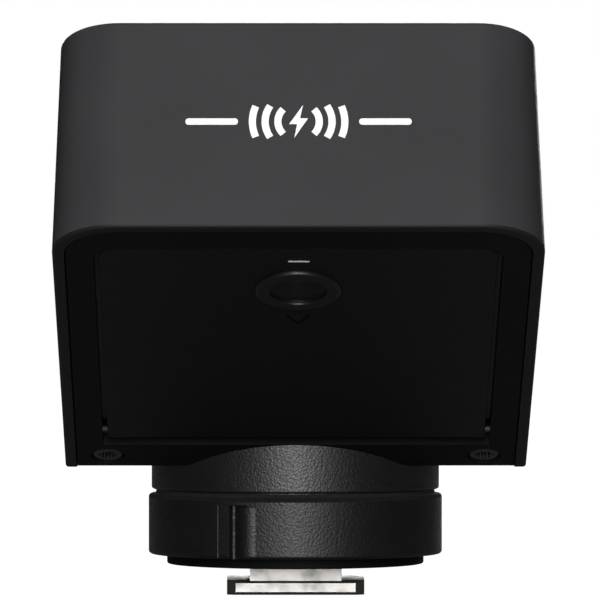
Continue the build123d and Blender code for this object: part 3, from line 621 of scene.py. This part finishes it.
class TriggerPrint(bpy.types.PropertyGroup):
    """Sizes of the printed marks."""

    emblem_place: FloatProperty(
        name="Emblem height", description="Emblem's middle above the front edge, in mm",
        default=14.8, min=5, max=24)
    emblem_width: FloatProperty(
        name="Emblem width", description="Length of the emblem, in mm", default=28.4,
        min=10, max=50)
    dial_ticks: IntProperty(
        name="Dial ticks", description="Marks printed round the dial", default=24, min=4, max=60)


class TriggerStage(bpy.types.PropertyGroup):
    """Camera, floor and light."""

    distance: FloatProperty(
        name="Camera distance", description="From the front edge to the camera",
        default=0.862, min=0.2, max=5, unit="LENGTH")
    lens: FloatProperty(
        name="Lens", description="Focal length on a 36 mm wide sensor", default=415.4,
        min=20, max=800, unit="CAMERA")
    key_power: FloatProperty(
        name="Key light", description="Power of the front softbox, in watts", default=12.5, min=0)
    fill_power: FloatProperty(
        name="Rear light", description="Power of the rear softbox, in watts", default=11.0, min=0)
    side_power: FloatProperty(
        name="Side lights", description="Power of each side softbox, in watts", default=2.0, min=0)
    under_power: FloatProperty(
        name="Under light", description="Power of the softbox under the floor, in watts",
        default=0.06, min=0)
    room_light: FloatProperty(
        name="Room light", description="Brightness of the dim room around the stage",
        default=0.005, min=0, max=1)


class TriggerOperator:
    """What the trigger's operators share."""

    bl_options = {"REGISTER", "UNDO"}

    def execute(self, context):
        if not FINISHES:
            FINISHES.update(make_finishes(context.scene.trigger_look))
        self.make(context)
        return {"FINISHED"}


# ------------------------------------------------------------------ operators
class TRIGGER_OT_housing(TriggerOperator, bpy.types.Operator):
    """Finish the shell, frame, door, panel and sockets"""

    bl_idname = "trigger.housing"
    bl_label = "Finish housing"

    def make(self, context):
        for subpart in frame["record"]["subparts"]:
            dress([subpart["node"]], FINISHES[subpart["material_slot"]])
        dress(["door_hinge_pins"], FINISHES["hinge_pin"])
        dress(["lock_ring"], FINISHES["ring"])
        dress(["clamp_disc"], FINISHES["clamp"])


class TRIGGER_OT_emblem(TriggerOperator, bpy.types.Operator):
    """Print the emblem on the front face: a flash between radio waves"""

    bl_idname = "trigger.emblem"
    bl_label = "Print emblem"

    def make(self, context):
        sizes = context.scene.trigger_print
        line = 0.90
        outlines = [bolt(4.6)]
        for step, radius in enumerate((2.6, 4.2, 5.8)):
            spread = 42 - 10 * step
            for middle in (0, 180):
                outlines.append(band(radius, line, middle - spread, middle + spread))
        inner, outer = 7.6, sizes.emblem_width / 2
        for side in (-1, 1):
            middle = side * (inner + outer) / 2
            outlines.append(bar(middle, 0, outer - inner, line, line * 0.45))
        printed("front_emblem", outlines, front_plane(sizes.emblem_place), "housing",
                FINISHES["emblem_ink"])


class TRIGGER_OT_door_mark(TriggerOperator, bpy.types.Operator):
    """Print the short dash above the thumb grip"""

    bl_idname = "trigger.door_mark"
    bl_label = "Print door mark"

    def make(self, context):
        printed("door_dash", [bar(0.05, 0, 2.7, 0.34, 0.1)], under_plane(10.5), "door",
                FINISHES["ink"])


class TRIGGER_OT_key_icons(TriggerOperator, bpy.types.Operator):
    """Print an icon on each key and on the centre button"""

    bl_idname = "trigger.key_icons"
    bl_label = "Print key icons"

    KEY_TOP = 29.5

    def make(self, context):
        near, far, side = 61.5, 90.0, 21.5
        icons = {
            "menu_icon": (-side, near, "menu_key",
                          [bar(0, y, 3.6, 0.5) for y in (-1.1, 0, 1.1)], "ink"),
            "back_icon": (side, near, "back_key",
                          [band(1.35, 0.45, -90, 150), [(-2.3, 0.5), (-0.6, 1.9), (-0.6, 0.0)]],
                          "ink"),
            "power_icon": (-side, far, "power_key",
                           [band(1.5, 0.45, 125, 415), bar(0, 1.2, 0.45, 1.9)], "ink"),
            "test_icon": (side, far, "test_key", [bolt(3.9)], "red_ink"),
        }
        for name, (x, along, body, outlines, ink) in icons.items():
            printed(name, outlines, display_plane(x, along, self.KEY_TOP), body, FINISHES[ink])
        printed("centre_icon", [dot(1.0)], display_plane(0, DIAL_PLACE[0], 31.25), "dial_button",
                FINISHES["ink"])


class TRIGGER_OT_dial_marks(TriggerOperator, bpy.types.Operator):
    """Print the ticks round the dial, with a gap at its front"""

    bl_idname = "trigger.dial_marks"
    bl_label = "Print dial marks"

    def make(self, context):
        count = context.scene.trigger_print.dial_ticks
        ticks = []
        for i in range(count):
            turn = 360 * i / count
            if abs((turn - 90 + 180) % 360 - 180) < 8:
                continue
            ticks.append(band(16.2, 0.9, turn - 0.5, turn + 0.5))
        printed("dial_ticks", ticks, display_plane(0, DIAL_PLACE[0]), "housing", FINISHES["ink"])


class TRIGGER_OT_trims(TriggerOperator, bpy.types.Operator):
    """Fit the low trims round the dial and the display window"""

    bl_idname = "trigger.trims"
    bl_label = "Fit trims"

    WINDOW_WIDTH, WINDOW_HEIGHT, WINDOW_CORNER = 53.6, 47.6, 2.6

    def make(self, context):
        bpy.ops.object.select_all(action="DESELECT")
        bpy.ops.mesh.primitive_circle_add(vertices=96, radius=15.5 * MM, fill_type="NGON")
        ring = raise_rim(bpy.context.object, 0.7, 0.4, 0.12)
        ring.name = "dial_trim"
        settle(ring, display_plane(0, DIAL_PLACE[0]), "housing", FINISHES["dial"])

        bpy.ops.object.select_all(action="DESELECT")
        bpy.ops.mesh.primitive_plane_add(size=MM)
        plate = bpy.context.object
        bpy.ops.object.mode_set(mode="EDIT")
        bpy.ops.transform.resize(value=(self.WINDOW_WIDTH, self.WINDOW_HEIGHT, 1))
        bpy.ops.mesh.bevel(offset=self.WINDOW_CORNER * MM, segments=8, affect="VERTICES")
        bpy.ops.object.mode_set(mode="OBJECT")
        raise_rim(plate, 0.6, 0.25, 0.08)
        plate.name = "window_trim"
        settle(plate, window_plane(), "housing", FINISHES["dial"])


class TRIGGER_OT_screen(TriggerOperator, bpy.types.Operator):
    """Light the display: four channel rows, each with a colour tag, a level bar and its figure"""

    bl_idname = "trigger.screen"
    bl_label = "Light screen"

    SCREEN_ABOVE = 25.9
    WIDTH, HEIGHT = 46.5, 40.5
    ROW_STEP = 7.4
    BAR_LEFT, BAR_LENGTH, CELL_STEP = -15.2, 22.0, 2.2
    LEVELS = (("screen_amber", 0.75, "1/2"), ("screen_blue", 0.55, "1/4"),
              ("screen_green", 0.35, "1/8"), ("screen_white", 0.2, "1/16"))

    def lit(self, name, outlines, finish, rise):
        printed(name, outlines, self.centre, "housing", FINISHES[finish], 0.03, rise)

    def make(self, context):
        self.centre = window_plane(self.SCREEN_ABOVE)
        self.lit("screen_ground", [bar(0, 0, self.WIDTH, self.HEIGHT, 0.6)], "screen_dark", 0.0)
        top = self.HEIGHT / 2 - 4.2
        left = self.BAR_LEFT
        status = [bar(-20.5 + 2.0 * i, top - 1.1 + 0.35 * i, 1.1, 1.2 + 0.7 * i, 0.2)
                  for i in range(4)]
        status += [bar(19.2, top, 4.6, 2.4, 0.4), bar(21.9, top, 0.7, 1.1, 0.2)]
        self.lit("screen_status", status, "screen_white", 0.04)
        self.lit("screen_rule", [bar(0, top - 3.2, 43, 0.25, 0.1)], "screen_blue", 0.04)
        for row, (finish, level, words) in enumerate(self.LEVELS):
            y = top - 8.2 - self.ROW_STEP * row
            self.lit(f"screen_tag_{row + 1}", [bar(-19.6, y, 4.0, 4.0, 0.8)], finish, 0.04)
            cells = [bar(left + self.CELL_STEP * (i + 0.5), y, 1.7, 2.6, 0.3)
                     for i in range(int(self.BAR_LENGTH / self.CELL_STEP * level))]
            self.lit(f"screen_level_{row + 1}", cells, finish, 0.04)
            base = bar(left + self.BAR_LENGTH / 2, y - 2.2, self.BAR_LENGTH, 0.25, 0.1)
            self.lit(f"screen_base_{row + 1}", [base], "screen_white", 0.04)
            place = self.centre @ Matrix.Translation((21.6 * MM, y * MM, 0.03 * MM))
            numerals(f"screen_figure_{row + 1}", words, 4.6, place, "housing",
                     FINISHES["screen_white"])


FLOOR_TONE, FLOOR_GLOW, FLOOR_WHITENESS = 0.12, 1.17, 0.86
CAMERA_LEFT, CAMERA_UP = -0.0051, 0.0012             # from the front edge's middle, m


class TRIGGER_OT_stage(TriggerOperator, bpy.types.Operator):
    """Build the floor, the softboxes and the camera"""

    bl_idname = "trigger.stage"
    bl_label = "Build stage"

    def make(self, context):
        stage = context.scene.trigger_stage
        self.floor()
        self.world(context.scene, stage.room_light)
        self.softbox("key_softbox", stage.key_power, (-0.02, -1.0, 0.34), 0.20, 0.85)
        self.softbox("rear_softbox", stage.fill_power, (0.12, 1.05, 0.32), 0.6, 0.5)
        self.softbox("under_softbox", stage.under_power, (0, -0.12, -0.45), 0.3, 0.3)
        for side, name in ((-1, "left"), (1, "right")):
            self.softbox(f"{name}_softbox", stage.side_power, (side * 0.75, 0.35, 0.95), 0.5, 0.5)
        self.camera(context.scene, stage)

    @staticmethod
    def floor():
        """A pale floor just under the contacts, clear from below and to the light under it."""
        bpy.ops.object.select_all(action="DESELECT")
        bpy.ops.mesh.primitive_grid_add(x_subdivisions=8, y_subdivisions=8, size=6,
                                        location=(0, 0, CAD_BOX[0].z - 0.0002))
        obj = bpy.context.object
        obj.name = "floor"
        g = Graph("floor_paper")
        g.set(Base_Color=(FLOOR_TONE, FLOOR_TONE, FLOOR_TONE, 1), Roughness=0.95)
        path = g.node("ShaderNodeLightPath")
        white = g.node("ShaderNodeEmission", None, {"Color": (1, 1, 1, 1), "Strength": FLOOR_GLOW})
        clear = g.node("ShaderNodeBsdfTransparent")
        behind = g.node("ShaderNodeNewGeometry", None, None, "Backfacing")
        shader = Value(g, g.shader.outputs[0])
        seen = g.node("ShaderNodeMixShader", None, {0: path * FLOOR_WHITENESS, 1: shader, 2: white})
        shadow = g.node("ShaderNodeLightPath", None, None, "Is Shadow Ray")
        open_way = (behind + shadow) > 0.5
        sided = g.node("ShaderNodeMixShader", None, {0: open_way, 1: seen, 2: clear})
        g.feed(g.tree.nodes["Material Output"].inputs["Surface"], sided)
        obj.data.materials.append(g.material)

    @staticmethod
    def world(scene, room_light):
        """White all round to the eye, and a dim room as light."""
        world = bpy.data.worlds.new("room")
        scene.world = world
        world.use_nodes = True
        tree = world.node_tree
        background = tree.nodes["Background"]
        path = tree.nodes.new("ShaderNodeLightPath")
        mix = tree.nodes.new("ShaderNodeMix")
        mix.data_type = "RGBA"
        mix.inputs[6].default_value = (room_light, room_light, room_light, 1)
        mix.inputs[7].default_value = (1, 1, 1, 1)
        tree.links.new(path.outputs["Is Camera Ray"], mix.inputs[0])
        tree.links.new(mix.outputs[2], background.inputs["Color"])

    @staticmethod
    def softbox(name, power, place, width, height):
        lamp = bpy.data.lights.new(name, "AREA")
        lamp.shape = "RECTANGLE"
        lamp.size, lamp.size_y = width, height
        lamp.energy = power
        obj = bpy.data.objects.new(name, lamp)
        bpy.context.scene.collection.objects.link(obj)
        obj.location = place
        aim = (CAD_BOX[0] + CAD_BOX[1]) / 2 - Vector(place)
        obj.rotation_euler = aim.to_track_quat("-Z", "Y").to_euler()

    @staticmethod
    def camera(scene, stage):
        """The camera stands in front, level with the front edge, a touch to the left."""
        data = bpy.data.cameras.new("camera")
        data.lens = stage.lens
        data.sensor_width = 36
        data.clip_start, data.clip_end = 0.05, 20
        obj = bpy.data.objects.new("camera", data)
        scene.collection.objects.link(obj)
        obj.location = FRONT_EDGE + Vector((CAMERA_LEFT, -stage.distance, CAMERA_UP))
        yaw, pitch = math.radians(-0.348), math.radians(90 - 0.682)
        obj.rotation_euler = (pitch, 0, yaw)
        scene.camera = obj
        scene.view_settings.view_transform = "Standard"


class TRIGGER_PT_panel(bpy.types.Panel):
    """Lists the trigger's settings and operators"""

    bl_label = "Flash trigger"
    bl_idname = "TRIGGER_PT_panel"
    bl_space_type = "VIEW_3D"
    bl_region_type = "UI"
    bl_category = "Trigger"

    def draw(self, context):
        for group in ("trigger_look", "trigger_print", "trigger_stage"):
            settings = getattr(context.scene, group)
            column = self.layout.column()
            for key in settings.__annotations__:
                column.prop(settings, key)
        for operator in OPERATORS:
            self.layout.operator(operator.bl_idname)


SETTINGS = {"trigger_look": TriggerLook, "trigger_print": TriggerPrint,
            "trigger_stage": TriggerStage}
OPERATORS = (TRIGGER_OT_housing, TRIGGER_OT_emblem, TRIGGER_OT_door_mark, TRIGGER_OT_key_icons,
             TRIGGER_OT_dial_marks, TRIGGER_OT_trims, TRIGGER_OT_screen, TRIGGER_OT_stage)


def register():
    for cls in (*SETTINGS.values(), *OPERATORS, TRIGGER_PT_panel):
        bpy.utils.register_class(cls)
    for name, cls in SETTINGS.items():
        setattr(bpy.types.Scene, name, PointerProperty(type=cls))


def unregister():
    for name in SETTINGS:
        delattr(bpy.types.Scene, name)
    for cls in (TRIGGER_PT_panel, *reversed(OPERATORS), *reversed(list(SETTINGS.values()))):
        bpy.utils.unregister_class(cls)


def main():
    register()
    for operator in OPERATORS:
        group, name = operator.bl_idname.split(".")
        getattr(getattr(bpy.ops, group), name)()


if __name__ == "__main__":
    main()
